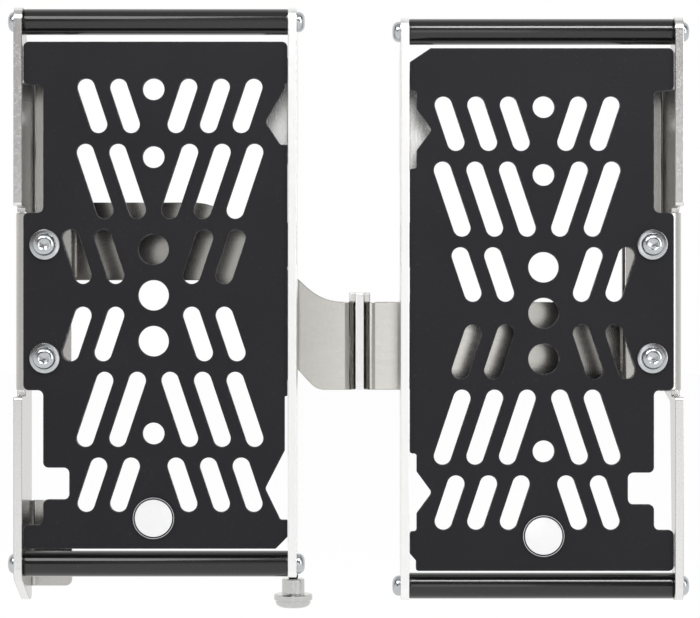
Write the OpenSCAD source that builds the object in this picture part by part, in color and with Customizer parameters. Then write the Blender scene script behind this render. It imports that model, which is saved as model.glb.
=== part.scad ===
// Radiator guard for a motorcycle that carries one radiator on each side of its down tube.
// Each guard is a slotted grille held between two bent side plates, which two cross tubes space apart.
// A strap from each outer side plate runs to the middle, where both bolt to a plate on the frame.
// X runs across, Z runs up and the grilles face -Y. The origin is the middle of the frame hole.

/* [Layout] */
// Grille's face to the frame hole, front to back
reach = 84; // [80:0.5:100]
// Middle plane to the left guard's inner plate
left_clear = 29.2; // [24:0.1:60]
// Middle plane to the right guard's inner plate
right_clear = 18.6; // [15:0.1:60]
// Clear width between the two side plates of a guard
bay_w = 122; // [120:0.2:126]
// Outer side plate to the hole axis
axis_to_outer = 60.2; // [58:0.1:62]
// Height of the left guard's top tube over the frame hole
left_top_z = 150; // [146:0.5:170]
// Height of the right guard's top tube over the frame hole
right_top_z = 145.4; // [143:0.2:170]
// How far the left guard's bottom tube is under the frame hole
left_bottom_drop = 100.8; // [99:0.1:115]
// How far the right guard's bottom tube is under the frame hole
right_bottom_drop = 111; // [108:0.5:125]

/* [Grille pattern] */
// Thickness of the grille's sheet
grille_t = 3; // [2:0.1:4]
// Height of the left grille's middle hole over the frame hole
left_pattern_z = 23.4; // [20:0.1:26]
// Height of the right grille's middle hole over the frame hole
right_pattern_z = 15.2; // [13:0.2:18]
// Width of a slot
slot_w = 8; // [5:0.1:9]
// Length of a slot in the end rows and the inner rows
short_slot = 26; // [18:0.5:28]
// Length of a slot in the rows between them
long_slot = 36; // [26:0.5:38]
// Lean of a slot from upright, in degrees
slot_tilt = 18.5; // [8:0.5:20]
// Pitch of the slots along a row
column_pitch = 15; // [14:0.1:15.4]
// Pitch of the rows
row_pitch = 34.7; // [34:0.1:35]
// Middle hole to the nearest row of slots
first_row = 17.8; // [17:0.1:18.4]
// Hole axis to the first slot in an inner row
inner_row_start = 20.4; // [19:0.1:21]
// Hole axis to the first slot in a row of long slots
long_row_start = 12; // [11.6:0.1:13]
// Hole axis to the first slot in an end row
end_row_start = 13.2; // [12.6:0.1:14]
// Diameter of the three large holes
large_hole_d = 14; // [8:0.5:15]
// Pitch of the large holes
large_hole_pitch = 21.1; // [18:0.1:22]
// Diameter of the small holes
small_hole_d = 10; // [6:0.5:11]
// Middle hole to a small hole above and below it
small_hole_rise = 63.6; // [61:0.1:66]
// Middle hole to the uppermost small hole
end_hole_rise = 94.8; // [92:0.1:98]

/* [Grille outline] */
// Left top tube's axis to the grille's top edge
left_top_gap = 9.9; // [7:0.1:11]
// Right top tube's axis to the grille's top edge
right_top_gap = 8.3; // [7:0.1:10]
// Bottom tube's axis to the grille's bottom edge
bottom_gap = 7.6; // [7:0.1:9]
// Gap between the grille's edge and a side plate
side_gap = 0.25; // [0.2:0.05:0.8]
// Radius of the grille's rounded corners
corner_r = 2.5; // [1:0.1:3]
// Width of the windows beside the outer plate
window_w = 9.4; // [8:0.1:11]
// Width of the deep notch in the lower window
deep_notch_w = 21.4; // [18:0.1:22]
// Height of the deep notch
deep_notch_h = 14.6; // [10:0.1:16]
// Frame hole down to the deep notch's middle on the left
left_deep_drop = 63.2; // [62:0.1:65]
// Frame hole down to the deep notch's middle on the right
right_deep_drop = 65.5; // [62:0.1:66]
// Frame hole up to the left upper window's top
left_window_z = 120.3; // [112:0.1:124]
// Frame hole up to the right upper window's top
right_window_z = 117.3; // [112:0.1:120]
// Frame hole down to the left lower window's bottom
left_window_drop = 82.1; // [80:0.1:84]
// Frame hole down to the right lower window's bottom
right_window_drop = 84.6; // [82:0.1:90]
// Depth of the pointed notches beside the inner plate
notch_w = 10.2; // [6:0.1:11]
// Radius at a notch's point
notch_r = 2.2; // [1:0.1:3]
// Left guard, height of the upper notch's point
left_notch_z = 103.2; // [100:0.2:106]
// Right guard, height of the upper notch's point
right_notch_z = 99.6; // [97:0.2:101]
// Left guard, how far the lower notch's point is under the frame hole
left_notch_drop = 65.5; // [63:0.5:66]
// Right guard, how far the lower notch's point is under the frame hole
right_notch_drop = 67.3; // [65:0.1:70]
// Left guard, how far the upper notch runs over its point
left_upper_rise = 15.4; // [10:0.1:17]
// Left guard, how far the upper notch runs under its point
left_upper_fall = 10.5; // [8:0.1:16]
// Left guard, how far the lower notch runs over its point
left_lower_rise = 17.5; // [10:0.1:19]
// Left guard, how far the lower notch runs under its point
left_lower_fall = 14.4; // [8:0.1:17]
// Right guard, half the height of a notch
right_notch_half_h = 9.6; // [6:0.1:12]
// Step in the left grille's edge over a notch
left_step = 1.2; // [0.6:0.1:2.4]
// Step in the left grille's edge under a notch
left_foot_step = 3.2; // [1:0.1:4]
// Step in the right grille's edge on both sides of a notch
right_step = 3.1; // [0.6:0.1:3.6]
// How far the left step runs over the upper notch
left_upper_run = 2; // [1.8:0.1:4]
// How far the left step runs over the lower notch
left_lower_run = 25; // [1.8:0.1:27]
// How far a right step runs past its notch
right_step_run = 8.3; // [5:0.1:9]
// Cut across the right grille's upper inner corner
right_top_cut = 6.4; // [2:0.1:9]
// Width of that cut, as a share of its height
top_cut_share = 1.5; // [1:0.1:1.8]
// Cut across the left grille's lower inner corner
left_bottom_cut = 5.4; // [3:0.1:6]
// Width of the step at the right grille's lower inner corner
right_corner_w = 2.8; // [1.5:0.1:4]
// Height of that step
right_corner_h = 8; // [6:0.1:9]
// Height of each of the two tabs that enter the inner plate
tab_h = 20; // [12:0.5:24]

/* [Side plates] */
// Thickness of the side plates
plate_t = 4; // [3:0.1:5]
// How far a side plate's front edge stands out from the grille
plate_proud = 2.5; // [2:0.1:4]
// Rear face of the folded edges, measured from the grille's face
cage_depth = 46.5; // [43:0.5:56]
// Inside radius of every fold in the side plates
fold_r = 1.5; // [0.5:0.1:3]
// Radius of a side plate's end round a tube screw
boss_r = 6.1; // [6:0.1:9]
// Top of the folded flange that carries the grille
flange_top_z = 61.5; // [58:0.5:64]
// How far that flange reaches under the frame hole
flange_drop = 20.3; // [18:0.1:22]
// Width of the flange, from the side plate's inner face
flange_w = 22; // [19:0.5:24]
// Height of the relief cut at each end of the flange
relief_h = 3; // [1:0.1:4]
// Width of the rear flange, from the side plate's inner face
rear_flange_w = 19.7; // [18:0.1:23]
// Top of the left outer plate's rear flange
left_rear_top_z = 125; // [100:0.5:130]
// Top of the right outer plate's rear flange
right_rear_top_z = 122; // [100:0.5:127]
// Depth of the left outer plate's lower half at its folded bracket
left_low_depth = 40.5; // [36:0.5:46]
// Top of the left folded bracket, under the frame hole
bracket_top_drop = 73.5; // [50:0.5:80]
// Bottom of the left folded bracket, under the frame hole
bracket_bottom_drop = 114; // [110:0.5:118]
// Width of the bracket, from the side plate's inner face
bracket_w = 18.8; // [17:0.1:24]
// How far the leg's end is under the bracket
leg_run = 5.5; // [4.5:0.5:8]
// Width of the leg's end
leg_w = 7; // [6.5:0.5:10]
// Depth of the right outer plate's lower half where it starts
right_low_depth = 17; // [15:0.5:30]
// Depth of the right outer plate just over its bottom tube
right_end_depth = 10; // [9:0.5:14]
// Top of the inner plate's folded tab, over the notch's middle
inner_tab_rise = 34; // [32:0.5:36]
// Bottom of the inner plate's folded tab, under the notch's middle
inner_tab_drop = 17; // [15:0.5:22]
// Width of that tab, from the side plate's inner face
inner_tab_w = 12.6; // [12:0.1:16]
// Depth of an inner plate under its folded tab
inner_plate_depth = 26; // [24:0.5:34]
// How far the left inner plate's lower end is under the bottom tube's axis
foot_edge = 5.6; // [5:0.1:7.4]

/* [Tubes] */
// Outside diameter of the cross tubes
tube_d = 12; // [9:0.1:13]
// Grille's face to a tube's axis
tube_depth = 8.5; // [8:0.1:10]
// Diameter of the tube screws' thread
tube_screw_d = 5; // [4:0.1:5]
// Diameter of the tube screws' heads
tube_head_d = 9.4; // [8.5:0.1:11]
// Height of the tube screws' heads
tube_head_h = 3.6; // [2:0.1:4.5]
// How far a tube screw enters its tube
tube_screw_grip = 12; // [8:0.5:20]

/* [Grille screws] */
// Outer plate's inner face to the grille screws
flange_screw_in = 10.2; // [9.5:0.1:12]
// Spacing of the two grille screws
flange_screw_pitch = 52.2; // [40:0.2:56]
// Diameter of the six millimetre threads
bolt_d = 6; // [5:0.1:6.2]
// Clearance of a bolt in its hole, on the diameter
bolt_play = 0.5; // [0.2:0.05:1]
// Diameter of the washer face under a grille screw's head
collar_d = 14; // [11:0.5:16]
// Thickness of that washer face
collar_t = 1.3; // [0.8:0.1:2]
// Diameter of the six millimetre heads
bolt_head_d = 10.5; // [9:0.1:12]
// Height of the six millimetre heads
bolt_head_h = 3.3; // [2.5:0.1:4]
// Width across flats of the nuts
nut_af = 10; // [9:0.1:11]
// Height of the nuts
nut_h = 5; // [3:0.1:5.5]

/* [Straps and joint] */
// Thickness of the straps
strap_t = 3; // [2:0.1:4]
// How far the straps' lower edge in the middle is under the frame hole
strap_bottom_drop = 21.5; // [20.5:0.1:24]
// Height of the straps' upper edge in the middle
strap_top_z = 20.5; // [19:0.1:22]
// Height of the left strap's upper edge at its outer end
left_strap_z = 68; // [60:0.5:72]
// Height of the left strap at its outer end
left_strap_h = 37.2; // [35:0.2:40]
// Middle plane to the start of the left strap's slope
slope_start_x = 69.5; // [66:0.5:76]
// Middle plane to the end of the slope, along the upper edge
slope_end_x = 17.6; // [17.4:0.1:24]
// Middle plane to the end of the slope, along the lower edge
slope_foot_x = 20.6; // [16:0.1:24]
// Radius of the left strap's corners
sweep_r = 25; // [8:0.5:25]
// Inside radius of the straps' folds
strap_fold_r = 2.5; // [1:0.1:4]
// Depth of the straps' turned ends, behind their fold
turned_end_l = 22; // [20:0.5:24]
// How far a turned end rises over the strap
ear_rise = 4.5; // [3:0.5:6]
// Thickness of the middle plate
middle_t = 4; // [3:0.1:6]
// Spacing of the two joint bolts
joint_pitch = 29; // [28:0.5:30]
// Height of the upper joint bolt
joint_bolt_z = 14.6; // [14:0.1:16]
// Diameter of the frame hole
frame_hole_d = 8.4; // [6:0.1:9]
// Radius of the middle plate's end round the frame hole
frame_boss_r = 9; // [7.5:0.5:12]
// Spacing of the two bolts that hold a strap to its side plate
strap_bolt_pitch = 21; // [16:0.5:24]
// Side plate's inner face to those bolts
strap_bolt_in = 10.7; // [9.5:0.1:12]

/* [Fixing holes, foot and badge] */
// Diameter of the radiator's fixing holes
fixing_d = 6.5; // [5:0.1:7]
// Height of the radiator hole in the left rear flange
left_fixing_z = 108; // [95:0.5:109]
// Height of the radiator hole in the right rear flange
right_fixing_z = 105; // [92:0.5:107]
// Side plate's inner face to the radiator hole in a rear flange
fixing_in = 10.7; // [9:0.1:13]
// Side plate's inner face to the radiator hole in an inner plate's tab
inner_fixing_in = 7; // [6:0.1:8]
// How far that hole is over the middle of the notch
inner_fixing_rise = 25; // [20:0.5:27]
// How far the bracket's hole is under the frame hole
bracket_hole_drop = 101; // [80:0.5:105]
// Side plate's inner face to the bracket's hole
bracket_hole_in = 10.4; // [9:0.1:12.5]
// Grille's face to the foot's axis
foot_depth = 20; // [10:0.5:21]
// Diameter of the foot's collar
foot_d = 10.6; // [8:0.1:13]
// Height of the foot's collar
foot_h = 7.2; // [4:0.1:9]
// Diameter of the foot's rim
foot_rim_d = 18; // [14:0.1:20]
// Thickness of the foot's rim
foot_rim_t = 3; // [1:0.1:3.5]
// Diameter of the rubber ring over the foot
ring_d = 4.6; // [4.4:0.1:8]
// Height of the rubber ring
ring_h = 2.4; // [1:0.1:6]
// Thread diameter of the foot's screw
foot_screw_d = 2.5; // [2:0.1:2.8]
// How far the foot's screw enters the side plate
foot_screw_grip = 9; // [6:0.5:12]
// Diameter of the foot screw's head
foot_head_d = 16.4; // [10:0.1:17]
// Height of the foot screw's head
foot_head_h = 3.4; // [2:0.1:4]
// Diameter of the round badge
badge_d = 19.5; // [14:0.5:21]
// Thickness of the badge
badge_t = 0.6; // [0.4:0.1:1.2]
// Width of the badge's raised rim
badge_rim_w = 1.2; // [0.6:0.1:2]
// Height of the badge's raised rim
badge_rim_h = 0.2; // [0.1:0.05:0.4]
// Middle hole down to the badge's middle
badge_drop = 102.5; // [98:0.5:104]

/* [Hidden] */
LEFT = 0;
RIGHT = 1;
OUTER = -1;
INNER = 1;
UPPER = 1;
LOWER = -1;
FRONT = 1;
REAR = -1;
$fn = 48;

// Clearance all round the grille's tab in its slot
tab_play = 0.15;
// Clearance of a thread in the hole that holds it, on the diameter
thread_play = 0.1;
// Overrun of a cut past the face it leaves
overrun = 1;
// Corner radius of the side plates' outlines
edge_r = 3;
// Corner radius at the foot of the relief cuts
relief_r = 0.8;
// How far a socket goes into a head, as a share of the head's height
socket_share = 0.62;
// Width of a socket, as a share of the head's diameter
socket_w_share = 0.42;
// Height of a button head's straight rim, as a share of the head's height
rim_share = 0.22;
// Diameter of a button head's flat top, as a share of its diameter
top_share = 0.5;
// How far a bolt's end stands out of its nut
bolt_end = 1.2;
// A half turn in degrees
half_turn = 180;
// Segments of one rounded corner
corner_steps = 6;
// Radius at a step's corners, as a share of the step
step_corner_share = 0.4;
// Slope of the step at the right grille's lower corner, as a share of the step's height
corner_slope_share = 0.4;
// How far a fold's straight ends lie in the flats beside it
fold_lap = 2;
// How far a rear flange runs past the strap's lower edge
flange_lap = 0.5;
// Height in which a plate's rear edge steps in under its flange
step_h = 4;

// Side plate faces, measured along a guard from its hole axis to the middle
outer_face = -axis_to_outer;
inner_face = bay_w - axis_to_outer;
// Middle plane to each grille's hole axis
left_axis_x = left_clear + plate_t + inner_face;
right_axis_x = right_clear + plate_t + inner_face;
// Outside radius of a fold in the side plates
fold_out_r = fold_r + plate_t;
// Depths at which a folded edge leaves the flat of its side plate
front_fold_y = grille_t + fold_out_r;
rear_fold_y = cage_depth - fold_out_r;
flange_mid_z = (flange_top_z - flange_drop) / 2;
joint_mid_z = joint_bolt_z - joint_pitch / 2;
strap_fold_out_r = strap_fold_r + strap_t;
// Depth of the joint bolts
joint_y = cage_depth + strap_fold_out_r + turned_end_l / 2;
left_strap_mid_z = left_strap_z - left_strap_h / 2;
right_strap_mid_z = (strap_top_z - strap_bottom_drop) / 2;
foot_x = inner_face + plate_t / 2;
foot_top_z = -left_bottom_drop - foot_edge;

function pick(side, left, right) = side == LEFT ? left : right;
function top_z(side) = pick(side, left_top_z, right_top_z);
function bottom_z(side) = -pick(side, left_bottom_drop, right_bottom_drop);
function pattern_z(side) = pick(side, left_pattern_z, right_pattern_z);
function strap_mid_z(side) = pick(side, left_strap_mid_z, right_strap_mid_z);
function grille_top(side) = top_z(side) - pick(side, left_top_gap, right_top_gap);
function grille_bottom(side) = bottom_z(side) + bottom_gap;
function notch_z(side) = pick(side, left_notch_z, right_notch_z);

// Points of an arc that rounds the corner at b, between a and c
function unit(v) = v / norm(v);
function corner_arc(a, b, c, r) =
    let (
        to_a = unit(a - b),
        to_c = unit(c - b),
        half = acos(to_a * to_c) / 2,
        middle = b + unit(to_a + to_c) * r / sin(half),
        from = b + to_a * r / tan(half) - middle,
        turn = (to_a.x * to_c.y - to_a.y * to_c.x > 0 ? -1 : 1) * (half_turn - 2 * half),
        start = atan2(from.y, from.x)
    )
    [for (i = [0:corner_steps]) middle + r * [cos(start + turn * i / corner_steps),
                                              sin(start + turn * i / corner_steps)]];

// Outline through [x, y, radius] corners, each rounded by its own radius
function flat(p) = [p[0], p[1]];
function rounded(corners) =
    let (n = len(corners))
    [for (i = [0:n - 1])
        let (a = flat(corners[(i + n - 1) % n]), b = flat(corners[i]), c = flat(corners[(i + 1) % n]))
        each (corners[i][2] > 0 ? corner_arc(a, b, c, corners[i][2]) : [b])];

// A guard's own place: its hole axis at X = 0, its outer plate towards -X, the grille's face at Y = 0
module guard_place(side) {
    if (side == LEFT) {
        translate([-left_axis_x, -reach, 0]) children();
    } else {
        translate([right_axis_x, -reach, 0]) mirror([1, 0, 0]) children();
    }
}

// Flat outline in X and Z, thickened from depth y backwards
module upright(y, t) {
    translate([0, y + t, 0]) rotate([90, 0, 0]) linear_extrude(t) children();
}

// Flat outline in Y and Z, thickened from x along +X
module sideways(x, t) {
    translate([x, 0, 0]) rotate([90, 0, 90]) linear_extrude(t) children();
}

// Quarter of a bent sheet about a fold's centre in X and Y, from one height to the other.
// Its straight ends lie in the flats on both sides of the bend.
module fold(centre, r_in, t, turn, z0, z1) {
    translate([centre.x, centre.y, z0]) rotate(turn) {
        rotate_extrude(angle = 90) translate([r_in, 0]) square([t, z1 - z0]);
        translate([r_in, -fold_lap, 0]) cube([t, fold_lap, z1 - z0]);
        translate([-fold_lap, r_in, 0]) cube([fold_lap, t, z1 - z0]);
    }
}

// Hole along Y between two depths, and along X between two places
module hole_y(x, z, d, y0, y1) {
    translate([x, y0 - overrun, z]) rotate([-90, 0, 0]) cylinder(d = d, h = y1 - y0 + 2 * overrun);
}

module hole_x(y, z, d, x0, x1) {
    translate([x0 - overrun, y, z]) rotate([0, 90, 0]) cylinder(d = d, h = x1 - x0 + 2 * overrun);
}

// Button head over a shank: the head stands on Z = 0 and the shank goes down
module button_screw(d, grip, head_d, head_h, flat_d = 0) {
    base = flat_d > 0 ? collar_t : 0;
    r = head_d / 2;
    dome = head_h * (1 - rim_share);
    difference() {
        union() {
            translate([0, 0, -grip]) cylinder(d = d, h = grip);
            if (flat_d > 0) {
                cylinder(d = flat_d, h = base);
            }
            translate([0, 0, base]) rotate_extrude() polygon(concat(
                [[0, 0], [r, 0]],
                [for (i = [0:corner_steps])
                    let (a = 90 * i / corner_steps)
                    [r * (top_share + (1 - top_share) * cos(a)), head_h * rim_share + dome * sin(a)]],
                [[0, head_h]]
            ));
        }
        translate([0, 0, base + head_h * (1 - socket_share)])
            cylinder(d = head_d * socket_w_share, h = head_h, $fn = 6);
    }
}

module nut(d) {
    difference() {
        cylinder(d = nut_af / cos(30), h = nut_h, $fn = 6);
        translate([0, 0, -overrun]) cylinder(d = d + thread_play, h = nut_h + 2 * overrun);
    }
}

// Slot outline, upright and centred
module slot_outline(length) {
    square([slot_w, length - slot_w], center = true);
    for (end = [UPPER, LOWER]) {
        translate([0, end * (length - slot_w) / 2]) circle(d = slot_w);
    }
}

// A row of slots over the middle hole and its mirror image under it, with so many on each side
module slot_rows(level, start, length, outer_count, inner_count) {
    for (turn = [UPPER, LOWER], side = [OUTER, INNER]) {
        for (i = [0:(side == OUTER ? outer_count : inner_count) - 1]) {
            translate([side * (start + i * column_pitch), turn * level])
                rotate(-side * turn * slot_tilt) slot_outline(length);
        }
    }
}

// Corners of a notch beside the inner plate, going down: the step over it, its slopes and the step under it
function notch_corners(x, z, rise, fall, head_step, head_run, foot_step, foot_run) =
    let (step_r = min(corner_r, head_step * step_corner_share))
    concat(
        [[x, z + rise + head_run, step_r], [x - head_step, z + rise + head_run, step_r],
         [x - head_step, z + rise, corner_r / 2], [x - notch_w, z, notch_r], [x - foot_step, z - fall, corner_r / 2]],
        foot_run > 0 ? [[x - foot_step, z - fall - foot_run, step_r]] : [],
        [[x, z - fall - foot_run, step_r]]
    );

function upper_notch(side, x) =
    side == LEFT
    ? notch_corners(x, left_notch_z, left_upper_rise, left_upper_fall, left_step, left_upper_run, left_foot_step, 0)
    : notch_corners(x, right_notch_z, right_notch_half_h, right_notch_half_h,
                    right_step, right_step_run, right_step, right_step_run);

function lower_notch(side, x) =
    side == LEFT
    ? notch_corners(x, -left_notch_drop, left_lower_rise, left_lower_fall, left_step, left_lower_run,
                    left_foot_step, 0)
    : notch_corners(x, -right_notch_drop, right_notch_half_h, right_notch_half_h,
                    right_step, right_step_run, right_step, right_step_run);

// Corners of a tab that runs through the inner plate, going down
function tab_corners(x, z) =
    let (x_tab = inner_face + plate_t)
    [[x, z + tab_h / 2, 0], [x_tab, z + tab_h / 2, relief_r], [x_tab, z - tab_h / 2, relief_r],
     [x, z - tab_h / 2, 0]];

function grille_corners(side) =
    let (
        x_out = outer_face + side_gap,
        x_in = inner_face - side_gap,
        x_window = outer_face + window_w,
        x_deep = outer_face + deep_notch_w,
        top = grille_top(side),
        bottom = grille_bottom(side),
        deep_z = -pick(side, left_deep_drop, right_deep_drop),
        window_top = pick(side, left_window_z, right_window_z),
        window_bottom = -pick(side, left_window_drop, right_window_drop)
    )
    concat(
        [[x_out, top, corner_r]],
        side == LEFT
        ? [[x_in, top, corner_r]]
        : [[x_in - right_top_cut * top_cut_share, top, 0], [x_in, top - right_top_cut, 0]],
        upper_notch(side, x_in),
        tab_corners(x_in, flange_screw_z(UPPER)),
        tab_corners(x_in, flange_screw_z(LOWER)),
        lower_notch(side, x_in),
        side == LEFT
        ? [[x_in, bottom + left_bottom_cut, 0], [x_in - left_bottom_cut, bottom, 0]]
        : [[x_in, bottom + right_corner_h, relief_r],
           [x_in - right_corner_w, bottom + right_corner_h * (1 - corner_slope_share), relief_r],
           [x_in - right_corner_w, bottom, corner_r / 2]],
        [[x_out, bottom, corner_r], [x_out, window_bottom, corner_r], [x_window, window_bottom, corner_r],
         [x_window, deep_z - deep_notch_h / 2, corner_r], [x_deep, deep_z - deep_notch_h / 2, corner_r],
         [x_deep, deep_z + deep_notch_h / 2, corner_r], [x_window, deep_z + deep_notch_h / 2, corner_r],
         [x_window, -flange_drop, corner_r], [x_out, -flange_drop, corner_r],
         [x_out, flange_top_z, corner_r], [x_window, flange_top_z, corner_r],
         [x_window, window_top, corner_r], [x_out, window_top, corner_r]]
    );

function flange_screw_z(end) = flange_mid_z + end * flange_screw_pitch / 2;

module grille(side) {
    color("dimgray") guard_place(side) upright(0, grille_t) {
        difference() {
            polygon(rounded(grille_corners(side)));
            translate([0, pattern_z(side)]) {
                slot_rows(first_row, inner_row_start, short_slot, 2, 2);
                slot_rows(first_row + row_pitch, long_row_start, long_slot, 2, 3);
                slot_rows(first_row + 2 * row_pitch, end_row_start, short_slot, 2, 3);
                for (i = [-1:1]) {
                    translate([0, i * large_hole_pitch]) circle(d = large_hole_d);
                }
                for (rise = [end_hole_rise, small_hole_rise, -small_hole_rise]) {
                    translate([0, rise]) circle(d = small_hole_d);
                }
            }
            for (end = [UPPER, LOWER]) {
                translate([outer_face + flange_screw_in, flange_screw_z(end)]) circle(d = bolt_d + bolt_play);
            }
        }
    }
}

// Bottom of the rear flange that a strap is bolted to
function rear_flange_bottom(side) = pick(side, left_strap_z - left_strap_h, -strap_bottom_drop) - flange_lap;
function rear_flange_top(side) = pick(side, left_rear_top_z, right_rear_top_z);

// Front edge and both ends of a side plate's outline, as depth and height
function end_corners(z, way, front, back) =
    way == UPPER ? [[front, z + boss_r, boss_r], [back, z + boss_r, boss_r]]
                 : [[back, z - boss_r, boss_r], [front, z - boss_r, boss_r]];

boss_back = tube_depth + boss_r;

// Rear edge of an outer plate under its rear flange, down to the bottom
function outer_low_corners(side) =
    side == LEFT
    ? [[left_low_depth - fold_out_r, rear_flange_bottom(side) - step_h, edge_r],
       [left_low_depth - fold_out_r, -bracket_bottom_drop - leg_run, edge_r],
       [left_low_depth - fold_out_r - leg_w, -bracket_bottom_drop - leg_run, edge_r],
       [-plate_proud, bottom_z(side) - boss_r, boss_r]]
    : concat([[right_low_depth, rear_flange_bottom(side) - step_h, edge_r],
              [right_end_depth, bottom_z(side) + 2 * boss_r, edge_r]],
             end_corners(bottom_z(side), LOWER, -plate_proud, boss_back));

function outer_corners(side) = concat(
    end_corners(top_z(side), UPPER, -plate_proud, boss_back),
    [[boss_back, top_z(side) - boss_r, edge_r],
     [rear_fold_y, rear_flange_top(side), 0],
     [rear_fold_y, rear_flange_bottom(side), 0]],
    outer_low_corners(side),
    [[-plate_proud, -flange_drop - relief_h, edge_r / 2],
     [front_fold_y + relief_h, -flange_drop - relief_h, relief_r],
     [front_fold_y + relief_h, -flange_drop, relief_r],
     [front_fold_y, -flange_drop, 0],
     [front_fold_y, flange_top_z, 0],
     [front_fold_y + relief_h, flange_top_z, relief_r],
     [front_fold_y + relief_h, flange_top_z + relief_h, relief_r],
     [-plate_proud, flange_top_z + relief_h, edge_r / 2]]
);

// Folded edge of a side plate's outer side: the quarter bend and the flat that runs inwards from it
module folded_edge(face_y, way, width, z0, z1, end_r) {
    fold_y = face_y + way * fold_out_r;
    fold([outer_face + fold_r, fold_y], fold_r, plate_t, way == REAR ? 90 : half_turn, z0, z1);
    upright(min(face_y, face_y + way * plate_t), plate_t) polygon(rounded([
        [outer_face + fold_r, z0, 0], [outer_face + width, z0, end_r],
        [outer_face + width, z1, end_r], [outer_face + fold_r, z1, 0]
    ]));
}

module outer_plate(side) {
    bracket_face = left_low_depth - plate_t;
    rear_top = rear_flange_top(side);
    rear_bottom = rear_flange_bottom(side);
    fixing_z = pick(side, left_fixing_z, right_fixing_z);
    color("silver") guard_place(side) difference() {
        union() {
            sideways(outer_face - plate_t, plate_t) polygon(rounded(outer_corners(side)));
            folded_edge(grille_t, FRONT, flange_w, -flange_drop, flange_top_z, edge_r / 2);
            folded_edge(cage_depth, REAR, rear_flange_w, rear_bottom, rear_top, edge_r);
            if (side == LEFT) {
                folded_edge(left_low_depth, REAR, bracket_w, -bracket_bottom_drop, -bracket_top_drop, edge_r);
            }
        }
        for (z = [top_z(side), bottom_z(side)]) {
            hole_x(tube_depth, z, tube_screw_d + bolt_play, outer_face - plate_t, outer_face);
        }
        for (end = [UPPER, LOWER]) {
            hole_y(outer_face + flange_screw_in, flange_screw_z(end), bolt_d + bolt_play,
                   grille_t, grille_t + plate_t);
            hole_y(outer_face + strap_bolt_in, strap_bolt_z(side, end), bolt_d + bolt_play,
                   cage_depth - plate_t, cage_depth);
        }
        hole_y(outer_face + fixing_in, fixing_z, fixing_d, cage_depth - plate_t, cage_depth);
        if (side == LEFT) {
            hole_y(outer_face + bracket_hole_in, -bracket_hole_drop, fixing_d, bracket_face, left_low_depth);
        }
    }
}

function inner_corners(side) =
    let (
        tab_top = notch_z(side) + inner_tab_rise,
        tab_bottom = notch_z(side) - inner_tab_drop
    )
    concat(
        end_corners(top_z(side), UPPER, -plate_proud, boss_back),
        [[boss_back, top_z(side) - boss_r / 2, 0],
         [rear_fold_y, tab_top, 0],
         [rear_fold_y, tab_bottom, 0],
         [inner_plate_depth, tab_bottom - step_h, edge_r]],
        side == LEFT
        ? [[inner_plate_depth, bottom_z(side) - foot_edge, edge_r],
           [-plate_proud, bottom_z(side) - foot_edge, edge_r]]
        : concat([[inner_plate_depth, bottom_z(side) + 2 * boss_r, edge_r]],
                 end_corners(bottom_z(side), LOWER, -plate_proud, boss_back))
    );

module inner_plate(side) {
    tab_top = notch_z(side) + inner_tab_rise;
    tab_bottom = notch_z(side) - inner_tab_drop;
    mortise_h = tab_h + 2 * tab_play;
    color("silver") guard_place(side) difference() {
        union() {
            sideways(inner_face, plate_t) polygon(rounded(inner_corners(side)));
            fold([inner_face - fold_r, rear_fold_y], fold_r, plate_t, 0, tab_bottom, tab_top);
            upright(cage_depth - plate_t, plate_t) polygon(rounded([
                [inner_face - fold_r, tab_bottom, 0], [inner_face - fold_r, tab_top, 0],
                [inner_face - inner_tab_w, tab_top, edge_r], [inner_face - inner_tab_w, tab_bottom, edge_r]
            ]));
        }
        for (z = [top_z(side), bottom_z(side)]) {
            hole_x(tube_depth, z, tube_screw_d + bolt_play, inner_face, inner_face + plate_t);
        }
        for (end = [UPPER, LOWER]) {
            translate([inner_face - overrun, -tab_play, flange_screw_z(end) - mortise_h / 2])
                cube([plate_t + 2 * overrun, grille_t + 2 * tab_play, mortise_h]);
        }
        hole_y(inner_face - inner_fixing_in, notch_z(side) + inner_fixing_rise, fixing_d,
               cage_depth - plate_t, cage_depth);
        if (side == LEFT) {
            translate([foot_x, foot_depth, foot_top_z - overrun])
                cylinder(d = foot_screw_d + thread_play, h = foot_screw_grip + 2 * overrun);
        }
    }
}

module cross_tube(side, z) {
    color("black") guard_place(side) difference() {
        translate([outer_face, tube_depth, z]) rotate([0, 90, 0]) cylinder(d = tube_d, h = bay_w);
        hole_x(tube_depth, z, tube_screw_d + thread_play, outer_face, inner_face);
    }
}

// Screw that holds one end of a cross tube to its side plate
module tube_screw(side, z, way) {
    color("lightgray") guard_place(side)
        translate([way == OUTER ? outer_face - plate_t : inner_face + plate_t, tube_depth, z])
            rotate([0, way * 90, 0])
                button_screw(tube_screw_d, plate_t + tube_screw_grip, tube_head_d, tube_head_h);
}

module grille_screw(side, end) {
    color("lightgray") guard_place(side)
        translate([outer_face + flange_screw_in, 0, flange_screw_z(end)]) rotate([90, 0, 0])
            button_screw(bolt_d, grille_t + plate_t + nut_h + bolt_end, bolt_head_d, bolt_head_h, collar_d);
}

module grille_nut(side, end) {
    color("gainsboro") guard_place(side)
        translate([outer_face + flange_screw_in, grille_t + plate_t, flange_screw_z(end)])
            rotate([-90, 0, 0]) nut(bolt_d);
}

function strap_bolt_z(side, end) = strap_mid_z(side) + end * strap_bolt_pitch / 2;

module strap_screw(side, end) {
    color("lightgray") guard_place(side)
        translate([outer_face + strap_bolt_in, cage_depth + strap_t, strap_bolt_z(side, end)])
            rotate([-90, 0, 0])
                button_screw(bolt_d, strap_t + plate_t + nut_h + bolt_end, bolt_head_d, bolt_head_h);
}

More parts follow.
